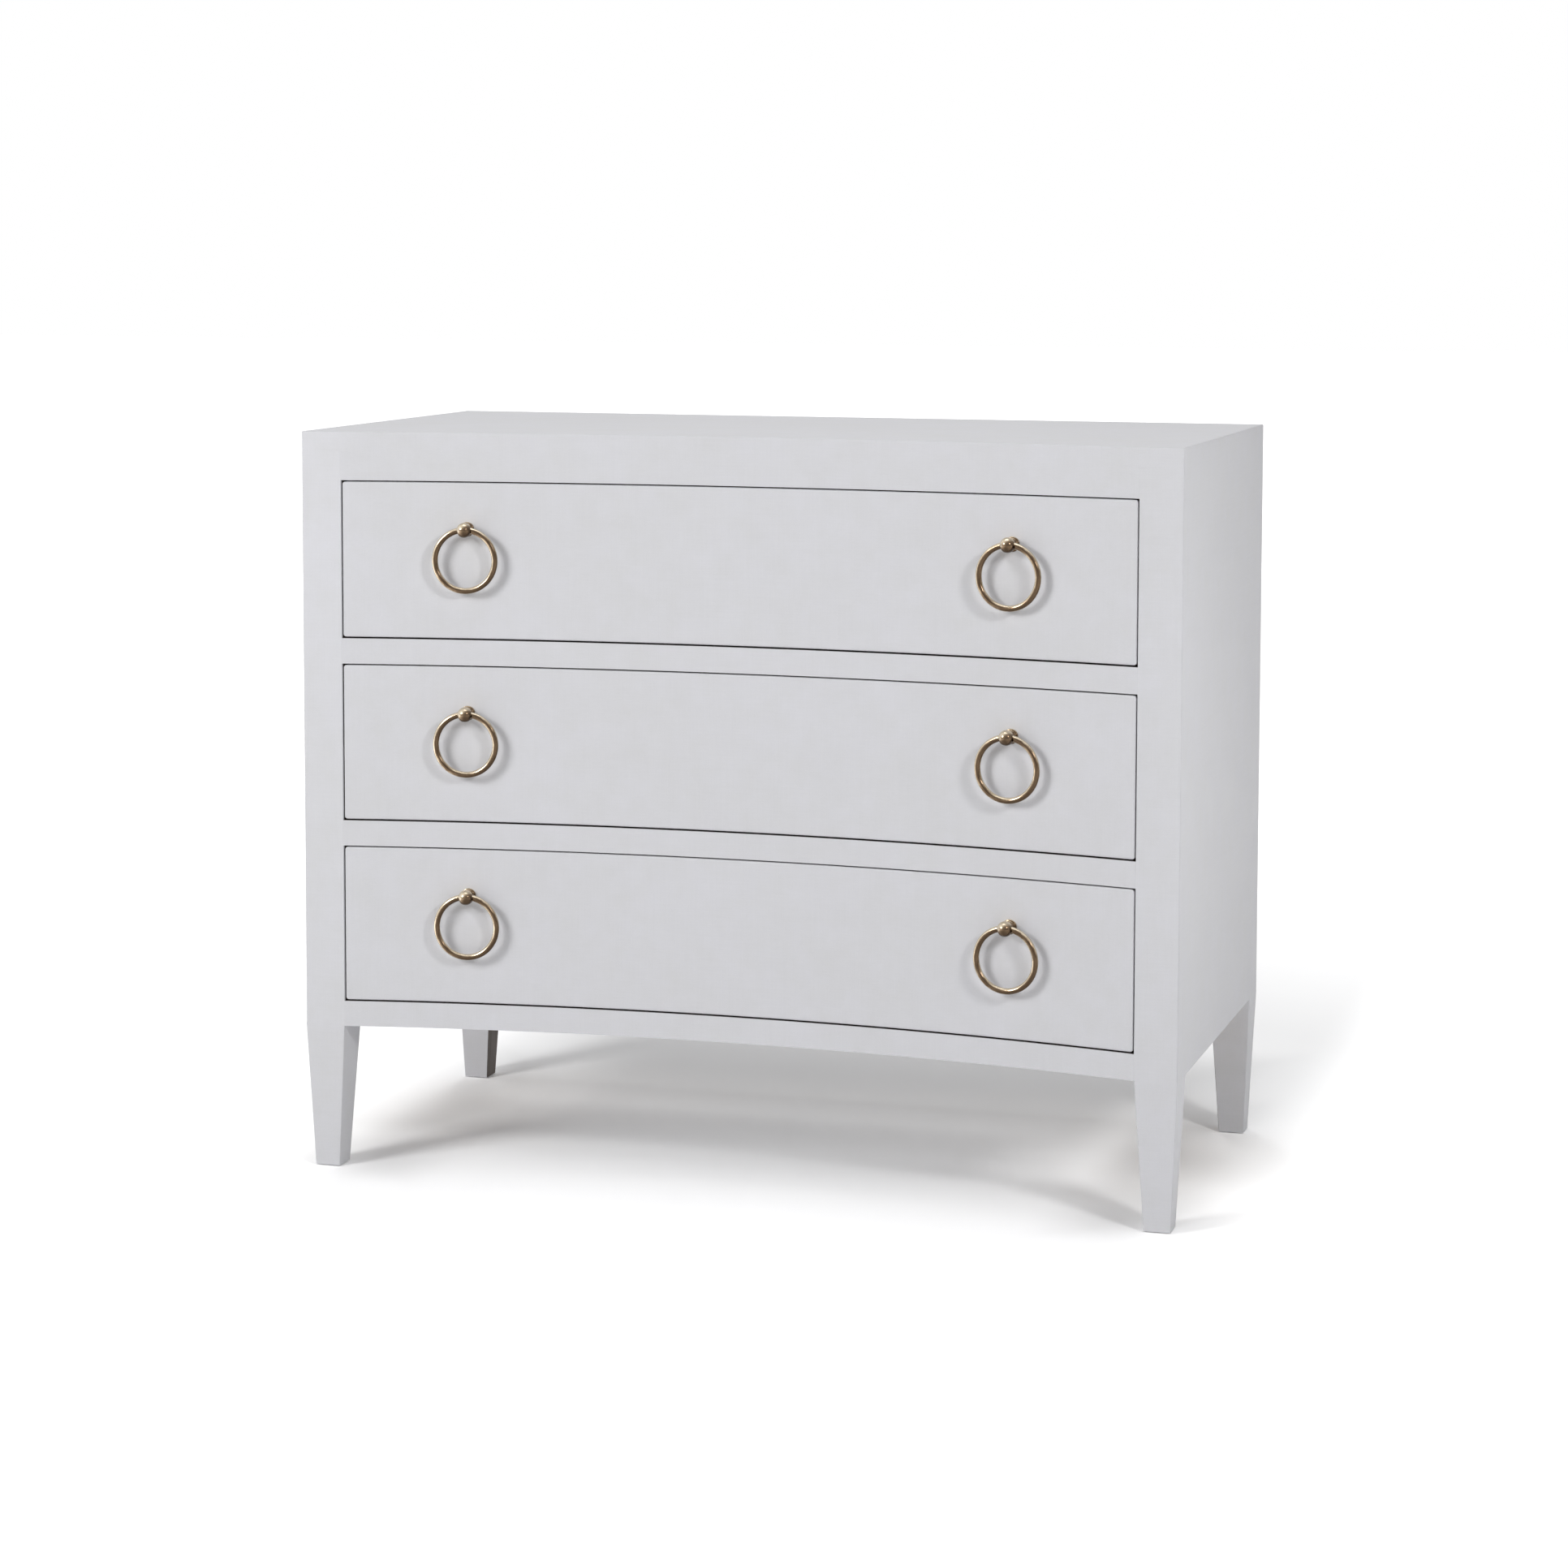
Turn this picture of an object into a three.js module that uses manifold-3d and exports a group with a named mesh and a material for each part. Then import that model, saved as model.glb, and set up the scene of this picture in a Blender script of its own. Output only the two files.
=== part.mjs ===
// A three-drawer dresser whose front bows inwards between straight posts.
// Lengths are in millimetres. X is the width, Y the depth with the front towards -Y, and Z is up.
// The origin lies on the floor, under the middle of the whole dresser with its pulls.
import * as THREE from "three";
import { mergeVertices } from "three/addons/utils/BufferGeometryUtils.js";
import Module from "manifold-3d";

const wasm = await Module();
wasm.setup();

// Overall sizes of the case
const caseWidth = 1016;
const caseDepth = 508;
const caseHeight = 850;
const frontSweep = 48; // how far the middle of the front lies behind the faces of the posts

// Posts, and the legs that they taper into
const postSide = 48;
const footSide = 30;
const footShift = 1.5; // a foot's middle lies this far outwards from its post's, both ways
const legHeight = 167;
const cornerRadius = 2;
const legEase = 1.2;
const innerEase = 0.05;
const easeFade = 2; // height over which the eased edges of a leg run out into its post

// Top, sides, back and dust bottom
const topThickness = 22;
const topEase = 1.2;
const sideThickness = 18;
const backThickness = 6;
const backSetIn = 2; // from the back faces of the posts to the back panel
const rabbetWidth = 8;
const dustPanelThickness = 6;
const dustPanelRise = 9; // above the underside of the bottom rails
const panelGroove = 6;

// Rails
const topRailHeight = 33;
const dividerHeight = 29;
const bottomRailHeight = 29;
const railDepth = 66; // at the middle of the curve
const rearRailHeight = 60;
const rearRailThickness = 20;

// Joints of the case
const tenonLength = 24;
const tenonThickness = 16;
const tenonShoulder = 6;
const frontTenonSetback = 14; // from the face of a post to the face of a front rail's tenon
const rearTenonThickness = 10;
const tongueLength = 8;
const tongueThickness = 6;
const glueGap = 0.2;

// Runners, their guides and stops, and the kickers
const runnerWidth = 31; // the part that the drawer side runs on, inwards from the guide
const guideHeight = 40;
const guideGap = 1; // between a guide and the drawer side that runs along it
const stopLength = 14;
const runningGap = 0.3;

// Glides under the feet
const glideHeight = 1.2;
const glideRadius = 12;
const glideChamfer = 0.4;

// Drawers, from the lowest up, and the rails that divide them
const levels = ["bottom", "middle", "top"];
const dividers = ["lower", "upper"];
const frontThickness = 22;
const frontGap = 1.6; // at the ends and the top of a drawer front
const frontBottomGap = 1.8;
const frontEase = 1.6;
const frontCornerRadius = 3; // of a drawer front's four corners, seen from the front
const drawerSideThickness = 12;
const drawerSideTopGap = 3;
const drawerBackThickness = 12;
const drawerBackDrop = 10; // below the top edges of the drawer sides
const drawerBottomThickness = 6;
const drawerBottomRise = 10; // above the bottom edges of the drawer sides
const drawerBottomGroove = 6;

// Dovetails that join the drawer sides to the front and the back
const tailCount = 4;
const tailLength = 14; // into the drawer front
const tailSlope = 1 / 6;
const tailWidthShare = 0.64; // of the pitch, at the wide end of a tail
const dovetailGap = 0.1;

// Pulls: a flange, a neck, a ball with a cross hole, and a ring that hangs in the hole
const pullSpreadShare = 0.69; // of a drawer front's width, between its two pulls
const pullRise = 36; // above the middle of the drawer opening
const pullSeatGap = 0.3;
const flangeRadius = 8.4;
const flangeThickness = 2.3;
const flangeEase = 0.8;
const neckRadius = 6;
const ballRadius = 8.5;
const ballReach = 15.5; // from the drawer front to the middle of the ball
const ringReach = 12.5; // from the drawer front to the cross hole
const ringOuterDiameter = 76;
const ringWireDiameter = 7;
const ringHoleGap = 0.45;

// Fineness of curves, and one overrun for all cuts
const curveSteps = 24;
const cornerSteps = 2;
const roundSteps = 16;
const ballSteps = 5;
const ringSteps = 32;
const wireSteps = 8;
const overrun = 5;
const weld = 1e-4;

// Places that follow from the sizes above
const halfWidth = caseWidth / 2;
const frontY = -caseDepth / 2;
const backY = caseDepth / 2;
const halfSpan = halfWidth - postSide;
const sideInnerX = halfWidth - sideThickness;
const underTop = caseHeight - topThickness;
const frontRadius = (halfSpan ** 2 + frontSweep ** 2) / (2 * frontSweep);
const curveCentreY = frontY + frontSweep - frontRadius;
const railBackY = frontY + frontSweep + railDepth;
const backPanelY = backY - backSetIn - backThickness;
const rearRailY = backPanelY - rearRailThickness;
const rearPostY = backY - postSide;
const openingBase = legHeight + bottomRailHeight;
const openingTop = underTop - topRailHeight;
const openingHeight = (openingTop - openingBase - dividers.length * dividerHeight) / levels.length;
const openingPitch = openingHeight + dividerHeight;
const guideX = halfSpan - guideGap;
const runnerX = guideX - runnerWidth;
const stopY = rearPostY - stopLength;

// Places within a drawer, whose heights count from the bottom of its opening
const drawerHalfWidth = halfSpan - frontGap;
const drawerInnerX = drawerHalfWidth - drawerSideThickness;
const drawerRearY = stopY - runningGap;
const drawerSideBase = runningGap;
const drawerSideTop = openingHeight - drawerSideTopGap;
const drawerFrontTop = openingHeight - frontGap;
const drawerBottomBase = drawerSideBase + drawerBottomRise;
const drawerBackBase = drawerBottomBase + drawerBottomThickness + glueGap;
const drawerBackTop = drawerSideTop - drawerBackDrop;
const drawerBackY = drawerRearY - drawerBackThickness;
const shoulderY = curveY(drawerInnerX, frontThickness);
const tailPitch = (drawerBackTop - drawerBackBase) / tailCount;

// Places of the pulls, and the shift that centres the dresser with its pulls
const pullAngle = Math.asin((pullSpreadShare * drawerHalfWidth) / frontRadius);
const pullTipY = curveCentreY + (frontRadius - ballReach - ballRadius) * Math.cos(pullAngle);
const centringShift = Math.max(0, frontY - pullTipY) / 2;
const ringWireRadius = ringWireDiameter / 2;
const ringRadius = (ringOuterDiameter - ringWireDiameter) / 2;
const holeHalfLength = Math.sqrt(ballRadius ** 2 - (ballReach - ringReach) ** 2);
const wireSagInBall = ringRadius - Math.sqrt(ringRadius ** 2 - holeHalfLength ** 2);
const ringHoleRadius = ringWireRadius + wireSagInBall + ringHoleGap;

// Finishes
const lacquer = new THREE.MeshStandardMaterial({ color: 0xd5d5d9, roughness: 0.42, metalness: 0 });
const paintedBack = new THREE.MeshStandardMaterial({ color: 0xcbcbce, roughness: 0.6, metalness: 0 });
const drawerWood = new THREE.MeshStandardMaterial({ color: 0xd2b48a, roughness: 0.6, metalness: 0 });
const runnerWood = new THREE.MeshStandardMaterial({ color: 0xc4a070, roughness: 0.65, metalness: 0 });
const agedBrass = new THREE.MeshStandardMaterial({ color: 0x9a835d, roughness: 0.3, metalness: 1 });
const glideNylon = new THREE.MeshStandardMaterial({ color: 0x3a3634, roughness: 0.5, metalness: 0 });

// Outlines of the curved front, seen from above

// Depth of the curved front at a place across the width, or of a line set back from it
function curveY(x, setBack = 0) {
  return curveCentreY + Math.sqrt((frontRadius + setBack) ** 2 - x ** 2);
}

// Points along that line between two places across the width
function curveLine(fromX, toX, setBack = 0) {
  const points = [];
  for (let i = 0; i <= curveSteps; i += 1) {
    const x = fromX + ((toX - fromX) * i) / curveSteps;
    points.push(new THREE.Vector2(x, curveY(x, setBack)));
  }
  return points;
}

// Points of a corner's rounding, from one angle to another in quarter turns
function corner(x, y, radius, quarter) {
  const points = [];
  for (let i = 0; i <= cornerSteps; i += 1) {
    const angle = (quarter + i / cornerSteps) * (Math.PI / 2);
    points.push(new THREE.Vector2(x + radius * Math.cos(angle), y + radius * Math.sin(angle)));
  }
  return points;
}

// Solids from outlines, and their joins and cuts

function toSolid(geometry) {
  const bare = geometry.clone();
  bare.deleteAttribute("normal");
  bare.deleteAttribute("uv");
  const welded = mergeVertices(bare, weld);
  const vertProperties = Float32Array.from(welded.attributes.position.array);
  const triVerts = Uint32Array.from(welded.index.array);
  return new wasm.Manifold(new wasm.Mesh({ numProp: 3, vertProperties, triVerts }));
}

function toGeometry(solid) {
  const mesh = solid.getMesh();
  const geometry = new THREE.BufferGeometry();
  geometry.setAttribute("position", new THREE.BufferAttribute(mesh.vertProperties, 3));
  geometry.setIndex(new THREE.BufferAttribute(mesh.triVerts, 1));
  geometry.computeVertexNormals();
  return geometry;
}

// A box between pairs of limits, given in either order
function block(limitsX, limitsY, limitsZ) {
  const low = new THREE.Vector3(Math.min(...limitsX), Math.min(...limitsY), Math.min(...limitsZ));
  const high = new THREE.Vector3(Math.max(...limitsX), Math.max(...limitsY), Math.max(...limitsZ));
  const size = high.clone().sub(low);
  const middle = high.add(low).multiplyScalar(1 / 2);
  return toSolid(new THREE.BoxGeometry(...size).translate(...middle));
}

// An outline, seen from above, between two heights
function prism(outline, base, top) {
  const shape = new THREE.Shape(outline);
  const settings = { depth: top - base, bevelEnabled: false };
  return toSolid(new THREE.ExtrudeGeometry(shape, settings).translate(0, 0, base));
}

// A skin over a stack of outlines with equal numbers of points, closed at the bottom and the top
function loft(layers) {
  const count = layers[0].outline.length;
  const positions = layers.flatMap(({ outline, z }) => outline.flatMap((p) => [p.x, p.y, z]));
  const faces = [];
  for (let layer = 1; layer < layers.length; layer += 1) {
    for (let i = 0; i < count; i += 1) {
      const below = (layer - 1) * count;
      const above = layer * count;
      const next = (i + 1) % count;
      faces.push(below + i, below + next, above + next);
      faces.push(below + i, above + next, above + i);
    }
  }
  const lid = (layers.length - 1) * count;
  for (const [a, b, c] of THREE.ShapeUtils.triangulateShape(layers[0].outline, [])) {
    faces.push(a, c, b);
  }
  for (const [a, b, c] of THREE.ShapeUtils.triangulateShape(layers.at(-1).outline, [])) {
    faces.push(lid + a, lid + b, lid + c);
  }
  const geometry = new THREE.BufferGeometry();
  geometry.setAttribute("position", new THREE.Float32BufferAttribute(positions, 3));
  geometry.setIndex(faces);
  return toSolid(geometry);
}

// The limits of a cut that leaves a gap round a piece
function grown([from, to], gap) {
  return [Math.min(from, to) - gap, Math.max(from, to) + gap];
}

function add(parent, name, geometry, material) {
  const mesh = new THREE.Mesh(geometry, material);
  mesh.name = name;
  parent.add(mesh);
  return mesh;
}

// Rails, from the lowest up
const rails = [
  { name: "front_bottom_rail", base: legHeight, top: openingBase },
  ...dividers.map((place, i) => {
    const base = openingBase + openingHeight + i * openingPitch;
    return { name: `${place}_divider_rail`, base, top: base + dividerHeight };
  }),
  { name: "front_top_rail", base: openingTop, top: underTop },
];
const rearRails = [
  { name: "rear_bottom_rail", base: legHeight, top: legHeight + rearRailHeight },
  { name: "rear_top_rail", base: underTop - rearRailHeight, top: underTop },
];
const frontTenonY = [frontY + frontTenonSetback, frontY + frontTenonSetback + tenonThickness];
const rearTenonMiddle = rearRailY + rearRailThickness / 2;
const rearTenonY = [rearTenonMiddle - rearTenonThickness / 2, rearTenonMiddle + rearTenonThickness / 2];
const tongueMiddle = halfWidth - sideThickness / 2;
const tongueX = [tongueMiddle - tongueThickness / 2, tongueMiddle + tongueThickness / 2];

// The stubs on both ends of a rail that runs between the posts, or with a gap the mortises cut for them
function tenons(rail, limitsY, gap) {
  const limitsZ = grown([rail.base + tenonShoulder, rail.top - tenonShoulder], gap);
  const reach = halfSpan + tenonLength + gap;
  return [-1, 1].map((side) => block([side * (halfSpan - overrun), side * reach], grown(limitsY, gap), limitsZ));
}

function joined(body, pieces) {
  return pieces.reduce((wood, piece) => wood.add(piece), body);
}

function cutBy(body, cuts) {
  return cuts.reduce((wood, cut) => wood.subtract(cut), body);
}

// Dust panel between the bottom rails and the lowest runners
const dustPanelX = [-runnerX - panelGroove, runnerX + panelGroove];
const dustPanelY = [railBackY - panelGroove, rearRailY + panelGroove];
const dustPanelZ = [legHeight + dustPanelRise, legHeight + dustPanelRise + dustPanelThickness];

function dustPanel() {
  return block(dustPanelX, dustPanelY, dustPanelZ);
}

function dustPanelGroove() {
  return block(grown(dustPanelX, glueGap), grown(dustPanelY, glueGap), grown(dustPanelZ, glueGap));
}

// The section of a post or leg, with a radius for each corner from front left round to back left
function postOutline(x, y, side, radii) {
  const half = side / 2;
  const [frontLeft, frontRight, backRight, backLeft] = radii;
  return [
    ...corner(x - half + frontLeft, y - half + frontLeft, frontLeft, 2),
    ...corner(x + half - frontRight, y - half + frontRight, frontRight, 3),
    ...corner(x + half - backRight, y + half - backRight, backRight, 0),
    ...corner(x - half + backLeft, y + half - backLeft, backLeft, 1),
  ];
}

// A post and its tapered leg, cut for the rails, the side panel and the back panel
function post(sideX, sideY) {
  const x = sideX * (halfWidth - postSide / 2);
  const y = sideY * (backY - postSide / 2);
  const outer = [sideX < 0 && sideY < 0, sideX > 0 && sideY < 0, sideX > 0 && sideY > 0, sideX < 0 && sideY > 0];
  const legRadii = outer.map(() => legEase);
  const postRadii = outer.map((isOuter) => (isOuter ? cornerRadius : innerEase));
  const footX = x + sideX * footShift;
  const footY = y + sideY * footShift;
  const body = loft([
    { outline: postOutline(footX, footY, footSide, legRadii), z: glideHeight },
    { outline: postOutline(x, y, postSide, legRadii), z: legHeight },
    { outline: postOutline(x, y, postSide, postRadii), z: legHeight + easeFade },
    { outline: postOutline(x, y, postSide, postRadii), z: underTop },
  ]);
  const tongue = [sideY * (rearPostY - overrun), sideY * (rearPostY + tongueLength + glueGap)];
  const groove = block(
    grown(tongueX.map((edge) => sideX * edge), glueGap),
    tongue,
    [legHeight - glueGap, underTop + overrun],
  );
  const cuts = [groove];
  if (sideY < 0) {
    cuts.push(...rails.flatMap((rail) => tenons(rail, frontTenonY, glueGap)));
  } else {
    const rabbetX = [sideX * (halfSpan - overrun), sideX * (halfSpan + rabbetWidth)];
    cuts.push(...rearRails.flatMap((rail) => tenons(rail, rearTenonY, glueGap)));
    cuts.push(block(rabbetX, [backPanelY, backY + overrun], [legHeight, underTop + overrun]));
  }
  return cutBy(body, cuts);
}

// The plan of a front rail: curved in front, straight behind
function frontRail(rail) {
  const plan = [
    ...curveLine(-halfSpan, halfSpan),
    new THREE.Vector2(halfSpan, railBackY),
    new THREE.Vector2(-halfSpan, railBackY),
  ];
  const body = joined(prism(plan, rail.base, rail.top), tenons(rail, frontTenonY, 0));
  return rail.base === legHeight ? body.subtract(dustPanelGroove()) : body;
}

function rearRail(rail) {
  const board = block([-halfSpan, halfSpan], [rearRailY, backPanelY], [rail.base, rail.top]);
  const body = joined(board, tenons(rail, rearTenonY, 0));
  return rail.base === legHeight ? body.subtract(dustPanelGroove()) : body;
}

// A side panel, flush with the posts, with a tongue on its front and rear edges
function sidePanel(side) {
  const board = block([side * sideInnerX, side * halfWidth], [-rearPostY, rearPostY], [legHeight, underTop]);
  const reach = rearPostY + tongueLength;
  const tongues = block(tongueX.map((edge) => side * edge), [-reach, reach], [legHeight, underTop]);
  return board.add(tongues);
}

function backPanel() {
  const reach = halfSpan + rabbetWidth - glueGap;
  return block([-reach, reach], [backPanelY, backPanelY + backThickness], [legHeight, underTop]);
}

// The top's plan, drawn in by an inset all round
function topOutline(inset) {
  const radius = cornerRadius - inset * (cornerRadius / (cornerRadius + topEase));
  const x = halfWidth - inset - radius;
  const front = frontY + inset + radius;
  const back = backY - inset - radius;
  return [
    ...corner(-x, front, radius, 2),
    ...curveLine(-halfSpan, halfSpan, inset),
    ...corner(x, front, radius, 3),
    ...corner(x, back, radius, 0),
    ...corner(-x, back, radius, 1),
  ];
}

// The top, with its upper edge eased
function topPanel() {
  const edge = easedEdge(topEase);
  const layers = edge.map(({ inset, drop }) => ({ outline: topOutline(inset), z: caseHeight - drop }));
  return loft([{ outline: topOutline(0), z: underTop }, ...layers]);
}

// A drawer runner with its side guide and, behind the drawer side, its stop
function runner(side, railBase, openingBottom) {
  const bed = block([side * runnerX, side * sideInnerX], [railBackY, rearPostY], [railBase, openingBottom]);
  const guideZ = [railBase, openingBottom + guideHeight];
  const guide = block([side * guideX, side * sideInnerX], [railBackY, rearPostY], guideZ);
  const stopX = [side * (drawerInnerX - drawerSideThickness), side * sideInnerX];
  const body = bed.add(guide).add(block(stopX, [stopY, rearPostY], guideZ));
  return railBase === legHeight ? body.subtract(dustPanelGroove()) : body;
}

function kicker(side) {
  return block([side * runnerX, side * sideInnerX], [railBackY, rearPostY], [openingTop, underTop]);
}

// A round glide under a foot, its lower edge chamfered
function glide() {
  const profile = [
    new THREE.Vector2(0, 0),
    new THREE.Vector2(glideRadius - glideChamfer, 0),
    new THREE.Vector2(glideRadius, glideChamfer),
    new THREE.Vector2(glideRadius, glideHeight),
    new THREE.Vector2(0, glideHeight),
  ];
  return new THREE.LatheGeometry(profile, roundSteps).rotateX(Math.PI / 2);
}

// The plan of a drawer front: curved faces, eased front corners, and flat seats for the sides behind.
// The inset draws the front face back, for its eased top and bottom edges, and the drawing-in shortens
// the ends, for its rounded corners.
function drawerFrontOutline(inset, drawIn) {
  const endX = drawerHalfWidth - drawIn;
  const x = endX - frontEase;
  const y = curveY(x) + frontEase;
  const reach = frontEase - inset;
  const easing = (mirror) => {
    const points = [];
    for (let i = 0; i < cornerSteps; i += 1) {
      const angle = (i / cornerSteps) * (Math.PI / 2);
      points.push(new THREE.Vector2(mirror * (x + frontEase * Math.cos(angle)), y - reach * Math.sin(angle)));
    }
    return points;
  };
  return [
    ...easing(-1),
    ...curveLine(-x, x, inset),
    ...easing(1).reverse(),
    new THREE.Vector2(endX, shoulderY),
    ...curveLine(drawerInnerX, -drawerInnerX, frontThickness),
    new THREE.Vector2(-endX, shoulderY),
  ];
}

// The dovetails of a drawer side at one of its ends. Each widens from the shoulder line to its own end.
// A fit of zeros gives the wood, and the others give the sockets cut for it.
const tailWood = { gap: 0, past: 0, outside: 0 };
const blindSocket = { gap: dovetailGap, past: dovetailGap, outside: overrun };
const throughSocket = { gap: dovetailGap, past: overrun, outside: overrun };

function dovetails(side, neckY, endY, { gap, past, outside }) {
  const outward = Math.sign(endY - neckY);
  const endHalf = (tailPitch * tailWidthShare) / 2 + gap;
  const neckHalf = endHalf - Math.abs(endY - neckY) * tailSlope;
  const pastHalf = endHalf + past * tailSlope;
  const rootY = neckY - outward * overrun;
  const pastY = endY + outward * past;
  const innerX = side * (drawerInnerX - gap);
  const outerX = side * (drawerHalfWidth + outside);
  const settings = { depth: Math.abs(outerX - innerX), bevelEnabled: false };
  // The extrusion's X, Y and Z become the drawer's Y, Z and X
  const turn = new THREE.Matrix4().makeBasis(
    new THREE.Vector3(0, 1, 0),
    new THREE.Vector3(0, 0, 1),
    new THREE.Vector3(1, 0, 0),
  );
  return Array.from({ length: tailCount }, (_, i) => {
    const middle = drawerBackBase + tailPitch * (i + 1 / 2);
    const outline = [
      new THREE.Vector2(rootY, middle - neckHalf),
      new THREE.Vector2(neckY, middle - neckHalf),
      new THREE.Vector2(pastY, middle - pastHalf),
      new THREE.Vector2(pastY, middle + pastHalf),
      new THREE.Vector2(neckY, middle + neckHalf),
      new THREE.Vector2(rootY, middle + neckHalf),
    ];
    const tail = new THREE.ExtrudeGeometry(new THREE.Shape(outline), settings);
    return toSolid(tail.applyMatrix4(turn).translate(Math.min(innerX, outerX), 0, 0));
  });
}

const frontTails = [shoulderY, shoulderY - tailLength];
const rearTails = [drawerBackY, drawerRearY];

// The plan of the drawer bottom, or of the groove cut for it
function drawerBottomPlan(gap) {
  const x = drawerInnerX + drawerBottomGroove + gap;
  const rear = gap > 0 ? drawerRearY + overrun : drawerRearY;
  return [
    ...curveLine(-x, x, frontThickness - drawerBottomGroove - gap),
    new THREE.Vector2(x, rear),
    new THREE.Vector2(-x, rear),
  ];
}

function drawerBottom() {
  const inSides = drawerBottomPlan(0);
  return prism(inSides, drawerBottomBase, drawerBottomBase + drawerBottomThickness);
}

function drawerBottomGrooves() {
  const [low, high] = grown([drawerBottomBase, drawerBottomBase + drawerBottomThickness], glueGap);
  return prism(drawerBottomPlan(glueGap), low, high);
}

// The insets and drops of an eased edge, from its face to its end
function easedEdge(ease) {
  return Array.from({ length: cornerSteps + 1 }, (_, i) => {
    const angle = (i / cornerSteps) * (Math.PI / 2);
    return { inset: ease * (1 - Math.cos(angle)), drop: ease * (1 - Math.sin(angle)) };
  });
}

// A drawer front: lofted so that the edges of its face are eased, then cut for the tails and the bottom
function drawerFront() {
  const edge = [{ inset: 0, drop: frontCornerRadius }, ...easedEdge(frontEase)].map(({ inset, drop }) => {
    const drawIn = frontCornerRadius - Math.sqrt(frontCornerRadius ** 2 - (frontCornerRadius - drop) ** 2);
    return { outline: drawerFrontOutline(inset, drawIn), drop };
  });
  const lower = edge.map(({ outline, drop }) => ({ outline, z: frontBottomGap + drop }));
  const upper = edge.map(({ outline, drop }) => ({ outline, z: drawerFrontTop - drop }));
  const sockets = [-1, 1].flatMap((side) => dovetails(side, ...frontTails, blindSocket));
  return cutBy(loft([...lower.reverse(), ...upper]), [drawerBottomGrooves(), ...sockets]);
}

// A drawer side, with tails at both ends and a groove for the bottom
function drawerSide(side) {
  const board = block(
    [side * drawerInnerX, side * drawerHalfWidth],
    [shoulderY, drawerRearY],
    [drawerSideBase, drawerSideTop],
  );
  const backRoom = block(
    [side * (drawerInnerX - overrun), side * (drawerHalfWidth + overrun)],
    [drawerBackY - dovetailGap, drawerRearY + overrun],
    grown([drawerBackBase, drawerBackTop], dovetailGap),
  );
  const tails = [...dovetails(side, ...frontTails, tailWood), ...dovetails(side, ...rearTails, tailWood)];
  return joined(board.subtract(backRoom), tails).subtract(drawerBottomGrooves());
}

function drawerBack() {
  const board = block(
    [-drawerHalfWidth, drawerHalfWidth],
    [drawerBackY, drawerRearY],
    [drawerBackBase, drawerBackTop],
  );
  const cuts = [-1, 1].flatMap((side) => dovetails(side, ...rearTails, throughSocket));
  return cutBy(board, cuts);
}

// A pull's mount, turned about the line that stands square on the drawer front, which is Y = 0
function pullMount() {
  const flangeEnd = pullSeatGap + flangeThickness;
  const profile = [
    new THREE.Vector2(0, pullSeatGap),
    new THREE.Vector2(flangeRadius, pullSeatGap),
    new THREE.Vector2(flangeRadius, flangeEnd - flangeEase),
    new THREE.Vector2(flangeRadius - flangeEase, flangeEnd),
    new THREE.Vector2(neckRadius, flangeEnd),
  ];
  const backAngle = -Math.acos(neckRadius / ballRadius);
  for (let i = 0; i < ballSteps; i += 1) {
    const angle = backAngle + (Math.PI / 2 - backAngle) * (i / ballSteps);
    profile.push(new THREE.Vector2(ballRadius * Math.cos(angle), ballReach + ballRadius * Math.sin(angle)));
  }
  profile.push(new THREE.Vector2(0, ballReach + ballRadius));
  const turned = new THREE.LatheGeometry(profile, roundSteps).rotateX(Math.PI);
  const hole = new THREE.CylinderGeometry(ringHoleRadius, ringHoleRadius, 2 * (ballRadius + overrun), roundSteps);
  hole.rotateZ(Math.PI / 2).translate(0, -ringReach, 0);
  return toGeometry(toSolid(turned).subtract(toSolid(hole)));
}

// A ring that hangs from the middle of the ball's cross hole
function pullRing() {
  const ring = new THREE.TorusGeometry(ringRadius, ringWireRadius, wireSteps, ringSteps);
  return ring.rotateX(Math.PI / 2).translate(0, -ringReach, -ringRadius);
}

// The case: everything that stands still
const sides = [["left", -1], ["right", 1]];
const ends = [["front", -1], ["rear", 1]];

function buildCase() {
  const group = new THREE.Group();
  add(group, "top_panel", toGeometry(topPanel()), lacquer);
  add(group, "back_panel", toGeometry(backPanel()), paintedBack);
  add(group, "dust_panel", toGeometry(dustPanel()), paintedBack);
  for (const rail of rails) {
    add(group, rail.name, toGeometry(frontRail(rail)), lacquer);
  }
  for (const rail of rearRails) {
    add(group, rail.name, toGeometry(rearRail(rail)), runnerWood);
  }
  for (const [sideName, side] of sides) {
    add(group, `${sideName}_side_panel`, toGeometry(sidePanel(side)), lacquer);
    add(group, `${sideName}_kicker`, toGeometry(kicker(side)), runnerWood);
    for (const [endName, end] of ends) {
      add(group, `${endName}_${sideName}_post`, toGeometry(post(side, end)), lacquer);
      const foot = add(group, `${endName}_${sideName}_glide`, glide(), glideNylon);
      foot.position.set(side * (halfWidth - postSide / 2 + footShift), end * (backY - postSide / 2 + footShift), 0);
    }
    levels.forEach((level, i) => {
      const wood = runner(side, rails[i].base, rails[i].top);
      add(group, `${level}_${sideName}_runner`, toGeometry(wood), runnerWood);
    });
  }
  return group;
}

// The pieces of a drawer and its pulls, alike for all drawers
const drawerShapes = {
  front: toGeometry(drawerFront()),
  left_side: toGeometry(drawerSide(-1)),
  right_side: toGeometry(drawerSide(1)),
  back: toGeometry(drawerBack()),
  bottom: toGeometry(drawerBottom()),
};
const mountShape = pullMount();
const ringShape = pullRing();

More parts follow.
